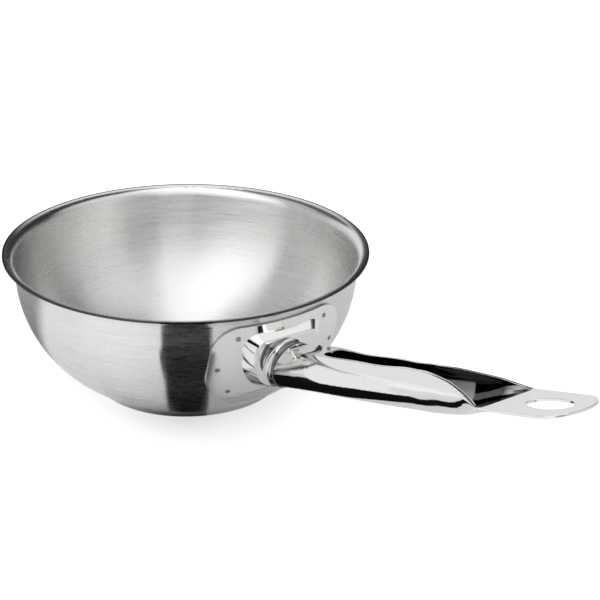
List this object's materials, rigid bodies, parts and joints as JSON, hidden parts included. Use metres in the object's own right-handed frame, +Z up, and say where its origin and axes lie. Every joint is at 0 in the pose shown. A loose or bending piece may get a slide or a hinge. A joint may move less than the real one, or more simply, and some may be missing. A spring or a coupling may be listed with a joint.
{
  "type": "saucier pan",
  "caption": "Stainless-steel saucier pan with a round flared bowl, an encapsulated flat base and a hollow channel handle with a hanging hole.",
  "frame": {"origin": "centre of the base's underside, on the plane it stands on", "axes": "+Z up through the bowl's centre, +X along the handle, +Y across it"},
  "size_m": [0.4271, 0.2152, 0.1192],
  "materials": {
    "bowl_steel": "satin, brushed round the bowl",
    "core_aluminium": "plain, sealed in the base",
    "base_steel": "satin, brushed",
    "polished_steel": "mirror-polished stainless steel",
    "weld_steel": "small spot-weld marks"
  },
  "bodies": {
    "root": {"pan_shell": "bowl_steel", "heat_spreader": "core_aluminium", "base_cap": "base_steel", "handle_bracket": "polished_steel", "handle": "polished_steel", "handle_weld_bead": "polished_steel", "spot_welds": "weld_steel"}
  },
  "joints": []
}
